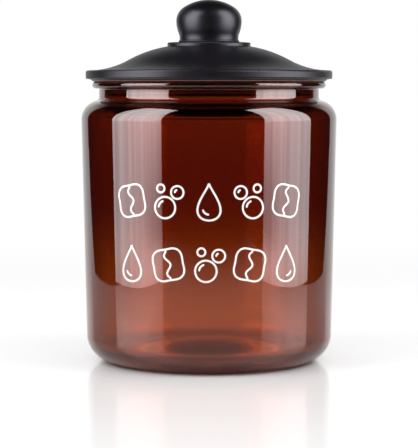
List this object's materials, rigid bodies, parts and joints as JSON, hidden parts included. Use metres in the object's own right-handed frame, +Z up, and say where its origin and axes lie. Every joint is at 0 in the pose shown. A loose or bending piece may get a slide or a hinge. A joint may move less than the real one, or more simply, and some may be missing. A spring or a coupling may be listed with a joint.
{
  "type": "glass pod jar",
  "caption": "Round amber glass storage jar for dishwasher or laundry pods, with a matte black metal lid that plugs the mouth with a silicone seal and pulls out by a knob.",
  "frame": {"origin": "centre of the foot, on the plane that the jar stands on", "axes": "+Z up along the axis of the jar, the lid and the knob; -Y towards the viewer of the decorated side"},
  "size_m": [0.156, 0.156, 0.2204],
  "materials": {
    "amber_glass": "clear, glossy",
    "black_coated_steel": "matte powder coat",
    "black_coated_casting": "satin powder coat",
    "plug_plastic": "fine moulded texture",
    "seal_silicone": "satin silicone",
    "plated_steel": "zinc plated"
  },
  "bodies": {
    "jar": {"glass_jar": "amber_glass"},
    "lid": {"lid_cover": "black_coated_steel", "seal_carrier": "plug_plastic", "seal_ring": "seal_silicone", "knob_collar": "black_coated_casting", "knob": "black_coated_casting", "knob_screw": "plated_steel", "knob_washer": "plated_steel"}
  },
  "joints": [
    {"name": "lid_lift", "type": "slide", "parent": "jar", "child": "lid", "axis": [0, 0, 1], "range_m": [0, 0.15]}
  ]
}
